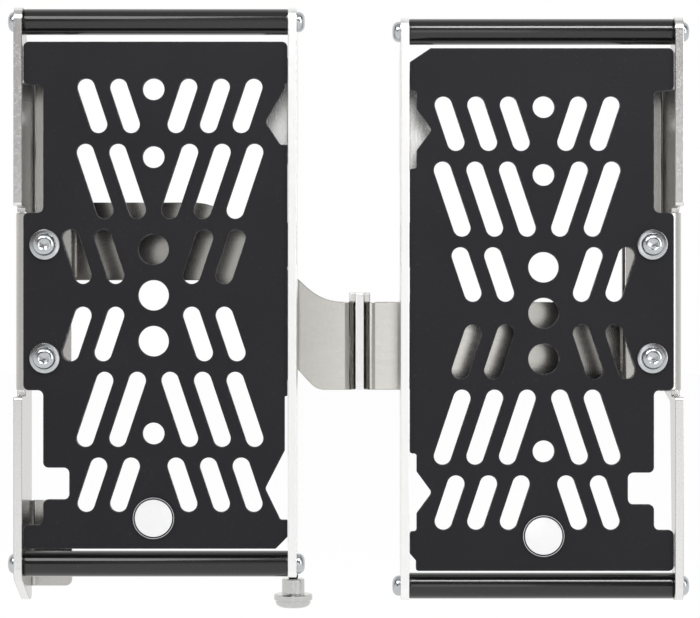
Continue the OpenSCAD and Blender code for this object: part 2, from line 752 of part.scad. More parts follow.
module strap_nut(side, end) {
    color("gainsboro") guard_place(side)
        translate([outer_face + strap_bolt_in, cage_depth - plate_t - nut_h, strap_bolt_z(side, end)])
            rotate([-90, 0, 0]) nut(bolt_d);
}

// Height of the joint bolts, and the depth at which a strap's turned end starts
function joint_z(end) = joint_mid_z + end * joint_pitch / 2;
turned_y = cage_depth + strap_fold_out_r - reach;

// The strap's turned end against the middle plate, drawn on the left of the middle
module turned_end() {
    fold_x = -middle_t / 2 - strap_fold_out_r;
    fold([fold_x, turned_y], strap_fold_r, strap_t, 270, -strap_bottom_drop, strap_top_z);
    sideways(-middle_t / 2 - strap_t, strap_t) polygon(rounded([
        [turned_y, -strap_bottom_drop, 0], [turned_y + turned_end_l, -strap_bottom_drop, edge_r],
        [turned_y + turned_end_l, strap_top_z + ear_rise, edge_r],
        [turned_y, strap_top_z + ear_rise, edge_r / 3]
    ]));
}

// Outline of a strap's flat run, from its outer end to the fold by the middle
function strap_end_x(side) = pick(side, left_axis_x, right_axis_x) - outer_face - fold_r - side_gap;
function left_strap_corners() =
    let (
        x_out = -strap_end_x(LEFT),
        x_in = -middle_t / 2 - strap_fold_out_r
    )
    [[x_out, left_strap_z, edge_r], [-slope_start_x, left_strap_z, sweep_r],
     [-slope_end_x, strap_top_z, sweep_r], [x_in, strap_top_z, 0],
     [x_in, -strap_bottom_drop, 0], [-slope_foot_x, -strap_bottom_drop, sweep_r / 3],
     [-slope_start_x, left_strap_z - left_strap_h, sweep_r / 3], [x_out, left_strap_z - left_strap_h, edge_r]];
function right_strap_corners() =
    let (
        x_out = -strap_end_x(RIGHT),
        x_in = -middle_t / 2 - strap_fold_out_r
    )
    [[x_out, strap_top_z, edge_r], [x_in, strap_top_z, 0],
     [x_in, -strap_bottom_drop, 0], [x_out, -strap_bottom_drop, edge_r]];

module strap(side) {
    bolt_x = -pick(side, left_axis_x, right_axis_x) + outer_face + strap_bolt_in;
    color("silver") mirror([side, 0, 0]) difference() {
        union() {
            upright(cage_depth - reach, strap_t)
                polygon(rounded(side == LEFT ? left_strap_corners() : right_strap_corners()));
            turned_end();
        }
        for (end = [UPPER, LOWER]) {
            hole_y(bolt_x, strap_bolt_z(side, end), bolt_d + bolt_play,
                   cage_depth - reach, cage_depth - reach + strap_t);
            hole_x(joint_y - reach, joint_z(end), bolt_d + bolt_play, -middle_t / 2 - strap_t, -middle_t / 2);
        }
    }
}

module middle_plate() {
    front = cage_depth - reach;
    color("silver") difference() {
        sideways(-middle_t / 2, middle_t) polygon(rounded([
            [front, -strap_bottom_drop, edge_r], [turned_y + turned_end_l, -strap_bottom_drop, edge_r],
            [frame_boss_r, -frame_boss_r, frame_boss_r], [frame_boss_r, frame_boss_r, frame_boss_r],
            [turned_y + turned_end_l, strap_top_z + ear_rise, edge_r],
            [front, strap_top_z + ear_rise, edge_r / 3]
        ]));
        hole_x(0, 0, frame_hole_d, -middle_t / 2, middle_t / 2);
        for (end = [UPPER, LOWER]) {
            hole_x(joint_y - reach, joint_z(end), bolt_d + bolt_play, -middle_t / 2, middle_t / 2);
        }
    }
}

module joint_screw(end) {
    grip = middle_t + 2 * strap_t + nut_h + bolt_end;
    color("lightgray") translate([-middle_t / 2 - strap_t, joint_y - reach, joint_z(end)])
        rotate([0, -90, 0]) button_screw(bolt_d, grip, bolt_head_d, bolt_head_h);
}

module joint_nut(end) {
    color("gainsboro") translate([middle_t / 2 + strap_t, joint_y - reach, joint_z(end)])
        rotate([0, 90, 0]) nut(bolt_d);
}

// The foot's parts stand on the foot's axis, each at its own height under the side plate
module foot_place(drop) {
    guard_place(LEFT) translate([foot_x, foot_depth, foot_top_z - drop]) children();
}

module foot_ring() {
    color("black") foot_place(ring_h) difference() {
        cylinder(d = ring_d, h = ring_h);
        translate([0, 0, -overrun]) cylinder(d = foot_screw_d + thread_play, h = ring_h + 2 * overrun);
    }
}

module foot_collar() {
    color("silver") foot_place(ring_h + foot_h + foot_rim_t) difference() {
        union() {
            cylinder(d = foot_rim_d, h = foot_rim_t);
            translate([0, 0, foot_rim_t]) cylinder(d = foot_d, h = foot_h);
        }
        translate([0, 0, -overrun])
            cylinder(d = foot_screw_d + bolt_play, h = foot_h + foot_rim_t + 2 * overrun);
    }
}

module foot_screw() {
    stack = ring_h + foot_h + foot_rim_t;
    color("lightgray") foot_place(stack) rotate([half_turn, 0, 0])
        button_screw(foot_screw_d, stack + foot_screw_grip, foot_head_d, foot_head_h);
}

module badge(side) {
    r = badge_d / 2;
    color("white") guard_place(side) translate([0, 0, pattern_z(side) - badge_drop]) rotate([90, 0, 0])
        rotate_extrude() polygon([
            [0, 0], [r, 0], [r, badge_t + badge_rim_h], [r - badge_rim_w, badge_t + badge_rim_h],
            [r - badge_rim_w, badge_t], [0, badge_t]
        ]);
}

module left_grille() { grille(LEFT); }
module left_outer_plate() { outer_plate(LEFT); }
module left_inner_plate() { inner_plate(LEFT); }
module left_top_tube() { cross_tube(LEFT, top_z(LEFT)); }
module left_bottom_tube() { cross_tube(LEFT, bottom_z(LEFT)); }
module left_top_outer_screw() { tube_screw(LEFT, top_z(LEFT), OUTER); }
module left_top_inner_screw() { tube_screw(LEFT, top_z(LEFT), INNER); }
module left_bottom_outer_screw() { tube_screw(LEFT, bottom_z(LEFT), OUTER); }
module left_bottom_inner_screw() { tube_screw(LEFT, bottom_z(LEFT), INNER); }
module left_upper_grille_screw() { grille_screw(LEFT, UPPER); }
module left_lower_grille_screw() { grille_screw(LEFT, LOWER); }
module left_upper_grille_nut() { grille_nut(LEFT, UPPER); }
module left_lower_grille_nut() { grille_nut(LEFT, LOWER); }
module left_strap() { strap(LEFT); }
module left_upper_strap_screw() { strap_screw(LEFT, UPPER); }
module left_lower_strap_screw() { strap_screw(LEFT, LOWER); }
module left_upper_strap_nut() { strap_nut(LEFT, UPPER); }
module left_lower_strap_nut() { strap_nut(LEFT, LOWER); }
module left_badge() { badge(LEFT); }
module right_grille() { grille(RIGHT); }
module right_outer_plate() { outer_plate(RIGHT); }
module right_inner_plate() { inner_plate(RIGHT); }
module right_top_tube() { cross_tube(RIGHT, top_z(RIGHT)); }
module right_bottom_tube() { cross_tube(RIGHT, bottom_z(RIGHT)); }
module right_top_outer_screw() { tube_screw(RIGHT, top_z(RIGHT), OUTER); }
module right_top_inner_screw() { tube_screw(RIGHT, top_z(RIGHT), INNER); }
module right_bottom_outer_screw() { tube_screw(RIGHT, bottom_z(RIGHT), OUTER); }
module right_bottom_inner_screw() { tube_screw(RIGHT, bottom_z(RIGHT), INNER); }
module right_upper_grille_screw() { grille_screw(RIGHT, UPPER); }
module right_lower_grille_screw() { grille_screw(RIGHT, LOWER); }
module right_upper_grille_nut() { grille_nut(RIGHT, UPPER); }
module right_lower_grille_nut() { grille_nut(RIGHT, LOWER); }
module right_strap() { strap(RIGHT); }
module right_upper_strap_screw() { strap_screw(RIGHT, UPPER); }
module right_lower_strap_screw() { strap_screw(RIGHT, LOWER); }
module right_upper_strap_nut() { strap_nut(RIGHT, UPPER); }
module right_lower_strap_nut() { strap_nut(RIGHT, LOWER); }
module right_badge() { badge(RIGHT); }
module upper_joint_screw() { joint_screw(UPPER); }
module lower_joint_screw() { joint_screw(LOWER); }
module upper_joint_nut() { joint_nut(UPPER); }
module lower_joint_nut() { joint_nut(LOWER); }

left_grille();
left_outer_plate();
left_inner_plate();
left_top_tube();
left_bottom_tube();
left_top_outer_screw();
left_top_inner_screw();
left_bottom_outer_screw();
left_bottom_inner_screw();
left_upper_grille_screw();
left_lower_grille_screw();
left_upper_grille_nut();
left_lower_grille_nut();
left_strap();
left_upper_strap_screw();
left_lower_strap_screw();
left_upper_strap_nut();
left_lower_strap_nut();
left_badge();
foot_ring();
foot_collar();
foot_screw();
right_grille();
right_outer_plate();
right_inner_plate();
right_top_tube();
right_bottom_tube();
right_top_outer_screw();
right_top_inner_screw();
right_bottom_outer_screw();
right_bottom_inner_screw();
right_upper_grille_screw();
right_lower_grille_screw();
right_upper_grille_nut();
right_lower_grille_nut();
right_strap();
right_upper_strap_screw();
right_lower_strap_screw();
right_upper_strap_nut();
right_lower_strap_nut();
right_badge();
middle_plate();
upper_joint_screw();
lower_joint_screw();
upper_joint_nut();
lower_joint_nut();
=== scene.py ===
import bmesh
import bpy
import numpy as np
from bpy.props import FloatProperty, FloatVectorProperty, IntProperty, PointerProperty
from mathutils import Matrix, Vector


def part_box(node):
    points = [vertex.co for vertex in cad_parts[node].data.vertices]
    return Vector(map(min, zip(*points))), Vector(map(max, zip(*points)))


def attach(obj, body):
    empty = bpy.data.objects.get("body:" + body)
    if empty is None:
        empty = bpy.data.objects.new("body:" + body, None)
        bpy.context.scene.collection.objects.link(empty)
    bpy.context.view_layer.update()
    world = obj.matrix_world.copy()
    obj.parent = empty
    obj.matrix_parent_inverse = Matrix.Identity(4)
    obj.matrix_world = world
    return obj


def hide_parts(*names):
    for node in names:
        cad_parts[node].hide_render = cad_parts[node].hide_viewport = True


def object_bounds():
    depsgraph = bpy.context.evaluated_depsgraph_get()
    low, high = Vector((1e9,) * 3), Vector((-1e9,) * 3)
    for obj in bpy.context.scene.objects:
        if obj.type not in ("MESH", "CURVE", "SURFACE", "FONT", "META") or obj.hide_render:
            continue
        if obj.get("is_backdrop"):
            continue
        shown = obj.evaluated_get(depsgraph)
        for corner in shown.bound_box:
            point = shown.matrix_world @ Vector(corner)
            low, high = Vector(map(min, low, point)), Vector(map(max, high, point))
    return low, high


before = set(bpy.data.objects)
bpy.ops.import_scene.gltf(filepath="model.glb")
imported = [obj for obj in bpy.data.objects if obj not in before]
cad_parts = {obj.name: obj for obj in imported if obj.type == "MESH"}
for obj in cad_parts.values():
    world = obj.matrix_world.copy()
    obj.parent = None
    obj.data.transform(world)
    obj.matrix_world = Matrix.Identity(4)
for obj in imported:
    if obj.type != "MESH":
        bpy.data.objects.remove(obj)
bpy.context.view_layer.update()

bl_info = {
    "name": "Radiator Guard",
    "version": (1, 0, 0),
    "blender": (4, 5, 0),
    "location": "View3D > Sidebar > Guard",
    "description": "Dresses a motorcycle radiator guard: coated grilles, bent side plates, tubes, straps and screws",
    "category": "Object",
}

MM = 0.001
SIDES = ("left", "right")

# Thickness of the side plates and the middle plate, and of the grilles and straps
PLATE_T, SHEET_T = 4.0 * MM, 3.0 * MM
# Radii of the bores in the tubes, the nuts, the foot's ring and the foot's collar
TUBE_BORE, NUT_BORE, RING_BORE, COLLAR_BORE = 2.55 * MM, 3.05 * MM, 1.3 * MM, 1.5 * MM
# The foot's collar: radius of its barrel and thickness of its rim
BARREL_R, RIM_T = 5.3 * MM, 3.0 * MM
# Degrees: a sheet's edge that is rounded, triangles that are one flat face, and an edge that stays sharp in shading
ROUNDED_TURN, FLAT_TURN, SHEET_SHARP, TURNED_SHARP = 40.0, 0.5, 20.0, 30.0
# How far apart two points of one corner may be: in a CAD node's mesh, and in a new one
NODE_MERGE, MESH_MERGE = 1e-6, 1e-7
# How far a cut face's width may be off the sheet's thickness, and how little of its normal may lie across it
CUT_SLACK, CUT_LEAN = 0.2 * MM, 0.3

# The camera: lens in millimetres, distance from the grilles' faces, and its place across and up
LENS, CAMERA_DISTANCE, CAMERA_X, CAMERA_Z = 134.2, 1.2, -0.00465, 0.0171
SENSOR = 36.0
# How far the floor is under the guard, half its width, and how bright it is to the camera
FLOOR_DROP, FLOOR_HALF_W, FLOOR_GLOW, FLOOR_GLOW_SHARE = 0.09, 8.0, 1.08, 0.87
# Each lamp: name, place, width and height, watts, and the point that it is turned to
GUARD_MIDDLE = (0.0, -0.05, 0.02)
LAMPS = (
    ("Key", (-0.55, -1.15, 0.95), (0.9, 0.6), 8.4, GUARD_MIDDLE),
    ("Fill", (0.85, -0.9, 0.35), (0.6, 0.9), 3.6, GUARD_MIDDLE),
    ("Strip", (0.21, -0.72, 0.66), (0.34, 0.2), 3.0, (0.21, -0.05, 0.02)),
    ("Panel", (0.09, -2.2, 0.06), (0.28, 0.9), 0.85, GUARD_MIDDLE),
)
# The walls' brightness from straight down (0) to straight up (1), and the dark flags beside the camera:
# for X, Z and Y of the direction, where a flag starts and where it is full
WALL_LEVELS = ((0.0, 0.6), (0.5, 0.8), (0.6, 0.8), (0.66, 0.26), (0.84, 0.2), (0.93, 0.5))
FLAG_X, FLAG_Z, FLAG_Y = (0.08, 0.11), (0.015, 0.04), (-0.8, -0.88)
FLAG_COLOUR = (0.09, 0.07, 0.06)
BACKDROP_EDGE = 0.3


# Sizes and colours that a user may change

def length(name, text, value, low, high):
    return FloatProperty(name=name, description=text, default=value * MM, min=low * MM, max=high * MM,
                         subtype="DISTANCE", unit="LENGTH", precision=5)


def colour(name, text, value):
    return FloatVectorProperty(name=name, description=text, default=value, size=3, min=0.0, max=1.0,
                               subtype="COLOR")


def share(name, text, value):
    return FloatProperty(name=name, description=text, default=value, min=0.0, max=1.0, subtype="FACTOR")


class GuardSizes(bpy.types.PropertyGroup):
    sheet_edge: length("Sheet edge", "Width of the rounded edge of the cut sheets", 0.3, 0.05, 0.6)
    thread_pitch: length("Thread pitch", "Pitch of the six millimetre threads", 1.0, 0.5, 1.5)
    thread_depth: length("Thread depth", "How deep a thread is cut", 0.32, 0.1, 0.6)
    tube_end: length("Tube end", "Chamfer at the ends of the cross tubes", 0.5, 0.1, 1.0)
    badge_rim: length("Badge rim", "Width of the dark rim round a badge", 1.2, 0.4, 3.0)
    badge_dome: length("Badge dome", "How far the badge's clear face rises in its middle", 0.25, 0.0, 0.6)
    turned_edge: length("Turned edge", "Chamfer on the foot's turned parts", 0.5, 0.1, 1.0)
    round_steps: IntProperty(name="Round steps", description="Segments round a screw", default=96, min=24, max=192)


class GuardColours(bpy.types.PropertyGroup):
    grille: colour("Grille", "Coating of the grilles", (0.010, 0.010, 0.0125))
    tube: colour("Tube", "Coating of the cross tubes", (0.006, 0.006, 0.007))
    outer: colour("Outer plate", "Metal of the outer side plates", (0.50, 0.49, 0.47))
    inner: colour("Inner plate", "Metal of the inner side plates and the middle plate", (0.88, 0.88, 0.87))
    strap: colour("Strap", "Metal of the straps", (0.42, 0.41, 0.385))
    zinc: colour("Zinc", "Plating of the screws and nuts", (0.52, 0.54, 0.56))
    foot: colour("Foot", "Turned metal of the foot", (0.56, 0.56, 0.55))
    rubber: colour("Rubber", "Ring over the foot", (0.022, 0.022, 0.022))
    badge: colour("Badge", "Face of the badges", (0.86, 0.86, 0.86))
    dust: colour("Dust", "Dust in the coating's grain", (0.30, 0.29, 0.27))
    floor: colour("Floor", "Floor and backdrop", (0.92, 0.92, 0.92))
    dust_share: share("Dust amount", "How much dust the dark coatings show", 0.06)
    wear_share: share("Edge wear", "How much bare metal shows on the coated edges", 0.18)


def sizes():
    return bpy.context.scene.guard_sizes


def colours():
    return bpy.context.scene.guard_colours


# Node groups: each puts out masks, values or normals that change over the surface

def socket(group, name, kind, way, value=None):
    made = group.interface.new_socket(name=name, in_out=way, socket_type=kind)
    if value is not None:
        made.default_value = value
    return made


def new_group(name, inputs, outputs):
    group = bpy.data.node_groups.new(name, "ShaderNodeTree")
    for label, kind, value in inputs:
        socket(group, label, kind, "INPUT", value)
    for label, kind in outputs:
        socket(group, label, kind, "OUTPUT")
    return group, group.nodes.new("NodeGroupInput"), group.nodes.new("NodeGroupOutput")


def node(tree, kind, **values):
    made = tree.nodes.new(kind)
    for key, value in values.items():
        if key.startswith("in_"):
            made.inputs[int(key[3:]) if key[3:].isdigit() else key[3:].replace("_", " ")].default_value = value
        else:
            setattr(made, key, value)
    return made


def link(tree, start, end):
    tree.links.new(start, end)


def ramp(tree, low, high):
    """A ramp from black at one value to white at another."""
    made = tree.nodes.new("ShaderNodeValToRGB")
    made.color_ramp.elements[0].position = low
    made.color_ramp.elements[1].position = high
    return made


def coat_grain_group():
    """Fine orange peel and sparse dust of a powder coating: noise at two scales, as a height and a mask."""
    group, start, end = new_group(
        "Coat grain",
        [("Scale", "NodeSocketFloat", 1400.0), ("Dust", "NodeSocketFloat", 0.1)],
        [("Height", "NodeSocketFloat"), ("Dust Mask", "NodeSocketFloat"), ("Cloud", "NodeSocketFloat")])
    place = group.nodes.new("ShaderNodeTexCoord")
    peel = node(group, "ShaderNodeTexNoise", in_Detail=3.0, in_Roughness=0.55)
    cloud = node(group, "ShaderNodeTexNoise", in_Scale=26.0, in_Detail=4.0, in_Roughness=0.6)
    specks = node(group, "ShaderNodeTexNoise", in_Scale=620.0, in_Detail=2.0, in_Roughness=0.5)
    sparse = ramp(group, 0.62, 0.74)
    patch = node(group, "ShaderNodeMath", operation="MULTIPLY")
    amount = node(group, "ShaderNodeMath", operation="MULTIPLY", use_clamp=True)
    for texture in (peel, cloud, specks):
        link(group, place.outputs["Object"], texture.inputs["Vector"])
    link(group, start.outputs["Scale"], peel.inputs["Scale"])
    link(group, specks.outputs["Fac"], sparse.inputs["Fac"])
    link(group, sparse.outputs["Color"], patch.inputs[0])
    link(group, cloud.outputs["Fac"], patch.inputs[1])
    link(group, patch.outputs[0], amount.inputs[0])
    link(group, start.outputs["Dust"], amount.inputs[1])
    link(group, peel.outputs["Fac"], end.inputs["Height"])
    link(group, amount.outputs[0], end.inputs["Dust Mask"])
    link(group, cloud.outputs["Fac"], end.inputs["Cloud"])
    return group


def streak_group():
    """Brushed or rolled metal: noise stretched along one axis, broad tone and specks, and the sheet's cut faces."""
    group, start, end = new_group(
        "Metal streaks",
        [("Stretch", "NodeSocketVector", (1.0, 1.0, 1.0)), ("Scale", "NodeSocketFloat", 900.0)],
        [("Height", "NodeSocketFloat"), ("Tone", "NodeSocketFloat"), ("Speckle", "NodeSocketFloat"),
         ("Cut", "NodeSocketFloat")])
    place = group.nodes.new("ShaderNodeTexCoord")
    stretch = node(group, "ShaderNodeVectorMath", operation="MULTIPLY")
    fine = node(group, "ShaderNodeTexNoise", in_Detail=4.0, in_Roughness=0.65)
    broad = node(group, "ShaderNodeTexNoise", in_Scale=60.0, in_Detail=3.0, in_Roughness=0.5)
    speck = node(group, "ShaderNodeTexNoise", in_Scale=780.0, in_Detail=2.0, in_Roughness=0.5)
    spots = ramp(group, 0.42, 0.66)
    cut = node(group, "ShaderNodeAttribute", attribute_name="cut_face")
    link(group, place.outputs["Object"], stretch.inputs[0])
    link(group, start.outputs["Stretch"], stretch.inputs[1])
    link(group, stretch.outputs[0], fine.inputs["Vector"])
    link(group, start.outputs["Scale"], fine.inputs["Scale"])
    link(group, place.outputs["Object"], broad.inputs["Vector"])
    link(group, place.outputs["Object"], speck.inputs["Vector"])
    link(group, speck.outputs["Fac"], spots.inputs["Fac"])
    link(group, fine.outputs["Fac"], end.inputs["Height"])
    link(group, broad.outputs["Fac"], end.inputs["Tone"])
    link(group, spots.outputs["Color"], end.inputs["Speckle"])
    link(group, cut.outputs["Fac"], end.inputs["Cut"])
    return group


def edge_wear_group():
    """Where a coating has rubbed through: the sheet's edge attribute, broken up by noise."""
    group, start, end = new_group(
        "Edge wear",
        [("Amount", "NodeSocketFloat", 0.3), ("Scale", "NodeSocketFloat", 320.0)],
        [("Mask", "NodeSocketFloat")])
    edge = node(group, "ShaderNodeAttribute", attribute_name="sheet_edge")
    place = group.nodes.new("ShaderNodeTexCoord")
    noise = node(group, "ShaderNodeTexNoise", in_Detail=4.0, in_Roughness=0.7)
    broken = ramp(group, 0.45, 0.65)
    both = node(group, "ShaderNodeMath", operation="MULTIPLY")
    amount = node(group, "ShaderNodeMath", operation="MULTIPLY", use_clamp=True)
    link(group, place.outputs["Object"], noise.inputs["Vector"])
    link(group, start.outputs["Scale"], noise.inputs["Scale"])
    link(group, noise.outputs["Fac"], broken.inputs["Fac"])
    link(group, broken.outputs["Color"], both.inputs[0])
    link(group, edge.outputs["Fac"], both.inputs[1])
    link(group, both.outputs[0], amount.inputs[0])
    link(group, start.outputs["Amount"], amount.inputs[1])
    link(group, amount.outputs[0], end.inputs["Mask"])
    return group


GROUPS = {}


def placed(tree, name, **inputs):
    """One of the shared groups, placed in a material with its own values."""
    makers = {"grain": coat_grain_group, "streaks": streak_group, "wear": edge_wear_group}
    if name not in GROUPS:
        GROUPS[name] = makers[name]()
    made = tree.nodes.new("ShaderNodeGroup")
    made.node_tree = GROUPS[name]
    for key, value in inputs.items():
        made.inputs[key].default_value = value
    return made


# Materials

MATERIALS = {}


def new_material(name):
    material = bpy.data.materials.new(name)
    material.use_nodes = True
    tree = material.node_tree
    MATERIALS[name] = material
    return material, tree, tree.nodes["Principled BSDF"]


def mixed(tree, mask, first, second):
    """Colour that goes from the first to the second where the mask is white."""
    mix = node(tree, "ShaderNodeMix", data_type="RGBA")
    link(tree, mask, mix.inputs["Factor"])
    for value, where in ((first, "A"), (second, "B")):
        spot = next(s for s in mix.inputs if s.name == where and s.type == "RGBA")
        if isinstance(value, bpy.types.NodeSocket):
            link(tree, value, spot)
        else:
            spot.default_value = (*value, 1.0)
    return next(s for s in mix.outputs if s.type == "RGBA")


def tone_range(tree, value, low, high):
    """A value between nought and one, brought into a range."""
    scale = node(tree, "ShaderNodeMapRange")
    link(tree, value, scale.inputs["Value"])
    scale.inputs["To Min"].default_value = low
    scale.inputs["To Max"].default_value = high
    return scale.outputs["Result"]


def bump(tree, height, shader, strength, distance):
    made = node(tree, "ShaderNodeBump", in_Strength=strength, in_Distance=distance)
    link(tree, height, made.inputs["Height"])
    link(tree, made.outputs["Normal"], shader.inputs["Normal"])


def coated(name, paint, rough, peel_scale, peel, wear, gloss_coat, specular):
    """A coating over metal: peel, dust in the grain, and bare metal where the edges have rubbed through."""
    if name in MATERIALS:
        return MATERIALS[name]
    material, tree, shader = new_material(name)
    grain = placed(tree, "grain", Scale=peel_scale, Dust=colours().dust_share)
    worn = placed(tree, "wear", Amount=wear)
    lighter = tuple(min(1.0, c * 1.5 + 0.004) for c in paint)
    base = mixed(tree, tone_range(tree, grain.outputs["Cloud"], 0.0, 0.6), tuple(paint), lighter)
    dusty = mixed(tree, grain.outputs["Dust Mask"], base, tuple(colours().dust))
    link(tree, mixed(tree, worn.outputs["Mask"], dusty, tuple(colours().zinc)), shader.inputs["Base Color"])
    link(tree, worn.outputs["Mask"], shader.inputs["Metallic"])
    link(tree, tone_range(tree, grain.outputs["Cloud"], rough - 0.05, rough + 0.06), shader.inputs["Roughness"])
    shader.inputs["Specular IOR Level"].default_value = specular
    shader.inputs["Coat Weight"].default_value = gloss_coat
    shader.inputs["Coat Roughness"].default_value = 0.06
    bump(tree, grain.outputs["Height"], shader, peel, 0.00012)
    return material


def metal(name, tint, rough, cut_rough, stretch, scale, strength, speckle):
    """Bare or plated metal: streaks along one axis, broad tone and fine speckle. The sheet's cut faces are lighter
    and have their own roughness."""
    if name in MATERIALS:
        return MATERIALS[name]
    material, tree, shader = new_material(name)
    streaks = placed(tree, "streaks", Stretch=stretch, Scale=scale)
    darker = tuple(c * (1.0 - speckle) for c in tint)
    base = mixed(tree, streaks.outputs["Speckle"], darker, tuple(tint))
    toned = mixed(tree, tone_range(tree, streaks.outputs["Tone"], 0.0, 0.5), base,
                  tuple(min(1.0, c * 1.08) for c in tint))
    lighter = tuple(c + (1.0 - c) * 0.6 for c in tint)
    link(tree, mixed(tree, streaks.outputs["Cut"], toned, lighter), shader.inputs["Base Color"])
    finish = node(tree, "ShaderNodeMix", data_type="FLOAT")
    link(tree, streaks.outputs["Cut"], finish.inputs[0])
    link(tree, tone_range(tree, streaks.outputs["Height"], rough * 0.75, rough * 1.3), finish.inputs[2])
    link(tree, tone_range(tree, streaks.outputs["Speckle"], cut_rough * 0.9, cut_rough * 1.15), finish.inputs[3])
    link(tree, finish.outputs[0], shader.inputs["Roughness"])
    shader.inputs["Metallic"].default_value = 1.0
    bump(tree, streaks.outputs["Height"], shader, strength, 0.00008)
    return material


def grille_paint():
    return coated("Satin black coating", colours().grille, rough=0.46, peel_scale=1500.0, peel=0.22,
                  wear=colours().wear_share, gloss_coat=0.0, specular=0.2)


def tube_paint():
    return coated("Gloss black coating", colours().tube, rough=0.2, peel_scale=700.0, peel=0.03, wear=0.05,
                  gloss_coat=0.7, specular=0.25)


def outer_metal():
    return metal("Outer plate metal", colours().outer, rough=0.2, cut_rough=0.24, stretch=(1.0, 1.0, 0.10),
                 scale=900.0, strength=0.08, speckle=0.05)


def inner_metal():
    return metal("Inner plate metal", colours().inner, rough=0.25, cut_rough=0.4, stretch=(1.0, 1.0, 0.12),
                 scale=900.0, strength=0.06, speckle=0.04)


def strap_metal():
    return metal("Strap metal", colours().strap, rough=0.15, cut_rough=0.34, stretch=(0.06, 1.0, 1.0),
                 scale=1100.0, strength=0.08, speckle=0.04)


def zinc_metal():
    return metal("Bright zinc", colours().zinc, rough=0.19, cut_rough=0.19, stretch=(1.0, 1.0, 1.0),
                 scale=500.0, strength=0.10, speckle=0.10)


def foot_metal():
    return metal("Turned metal", colours().foot, rough=0.16, cut_rough=0.16, stretch=(0.3, 0.3, 6.0),
                 scale=900.0, strength=0.22, speckle=0.08)


def ring_rubber():
    if "Rubber" in MATERIALS:
        return MATERIALS["Rubber"]
    material, tree, shader = new_material("Rubber")
    grain = placed(tree, "grain", Scale=900.0, Dust=0.25)
    link(tree, mixed(tree, grain.outputs["Dust Mask"], tuple(colours().rubber), tuple(colours().dust)),
         shader.inputs["Base Color"])
    link(tree, tone_range(tree, grain.outputs["Cloud"], 0.6, 0.8), shader.inputs["Roughness"])
    bump(tree, grain.outputs["Height"], shader, 0.3, 0.0001)
    return material


def badge_face():
    if "Badge face" in MATERIALS:
        return MATERIALS["Badge face"]
    material, tree, shader = new_material("Badge face")
    grain = placed(tree, "grain", Scale=300.0, Dust=0.05)
    face = tuple(colours().badge)
    base = mixed(tree, grain.outputs["Cloud"], tuple(c * 0.94 for c in face), face)
    link(tree, mixed(tree, grain.outputs["Dust Mask"], base, tuple(colours().dust)), shader.inputs["Base Color"])
    link(tree, tone_range(tree, grain.outputs["Cloud"], 0.12, 0.2), shader.inputs["Roughness"])
    shader.inputs["Coat Weight"].default_value = 0.8
    shader.inputs["Coat Roughness"].default_value = 0.04
    return material


# Surfaces

def add_piece(name, finish, mesh, materials):
    """A piece that stands for the node of that name. The piece's own name adds how it is finished."""
    piece = bpy.data.objects.new(f"{name}_{finish}", mesh)
    bpy.context.scene.collection.objects.link(piece)
    for material in materials:
        mesh.materials.append(material)
    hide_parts(name)
    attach(piece, "root")
    return piece


def grid_mesh(name, points, closed_ends=True):
    """A closed surface from an array of rings by points round each ring.
    Each ring is joined to the next, and the first and last ring are closed by one face each."""
    rings, steps, _ = points.shape
    near = np.arange(steps)
    far = (near + 1) % steps
    base = (np.arange(rings - 1) * steps)[:, None]
    quads = np.stack([base + near, base + far, base + steps + far, base + steps + near], axis=-1).reshape(-1, 4)
    faces = quads.tolist()
    if closed_ends:
        faces.append(near[::-1].tolist())
        faces.append((near + (rings - 1) * steps).tolist())
    mesh = bpy.data.meshes.new(name)
    mesh.from_pydata(points.reshape(-1, 3).tolist(), [], faces)
    mesh.update()
    mesh.shade_smooth()
    mesh.set_sharp_from_angle(angle=np.radians(TURNED_SHARP))
    return mesh


def outward(mesh):
    """Turns a closed mesh's faces outwards."""
    work = bmesh.new()
    work.from_mesh(mesh)
    bmesh.ops.recalc_face_normals(work, faces=work.faces)
    work.to_mesh(mesh)
    work.free()
    return mesh


AXES = {"+x": (1, 0, 0), "-x": (-1, 0, 0), "+y": (0, 1, 0), "-y": (0, -1, 0), "+z": (0, 0, 1), "-z": (0, 0, -1)}


def on_axis(points, axis, origin):
    """Points round the Z axis, turned so that Z runs along another axis, and moved to a place."""
    along = np.array(AXES[axis], float)
    across = np.array((0.0, 0.0, 1.0) if abs(along[2]) < 0.5 else (1.0, 0.0, 0.0))
    side = np.cross(along, across)
    return points @ np.stack([across, side, along]) + np.array(origin)


def turned(rings, steps):
    """Rings round the Z axis: each is a radius and a height, either of them a number or an array over the turn.
    A point is (radius cos a, radius sin a, height), with a going once round."""
    angle = np.linspace(0.0, 2.0 * np.pi, steps, endpoint=False)
    radius = np.stack([np.broadcast_to(r, angle.shape) for r, _ in rings])
    height = np.stack([np.broadcast_to(z, angle.shape) for _, z in rings])
    return np.stack([radius * np.cos(angle), radius * np.sin(angle), height], axis=-1)


def hex_radius(steps, flats):
    """Distance from a hexagon's middle to its side: half its width across flats, over the cosine of the angle to
    the middle of the nearest flat."""
    angle = np.linspace(0.0, 2.0 * np.pi, steps, endpoint=False)
    return flats / 2 / np.cos(np.mod(angle, np.pi / 3) - np.pi / 6)


def thread_rings(radius, top, bottom, steps):
    """A helical ridge: the radius falls by the depth times a triangle wave of (turn + height over pitch)."""
    pitch, depth = sizes().thread_pitch, sizes().thread_depth
    turn = np.linspace(0.0, 1.0, steps, endpoint=False)
    heights = np.arange(top, bottom + pitch / 2, -pitch / 8)
    wave = [np.abs(2.0 * np.mod(turn + z / pitch, 1.0) - 1.0) for z in heights]
    return [(radius - depth * w, z) for w, z in zip(wave, heights)]


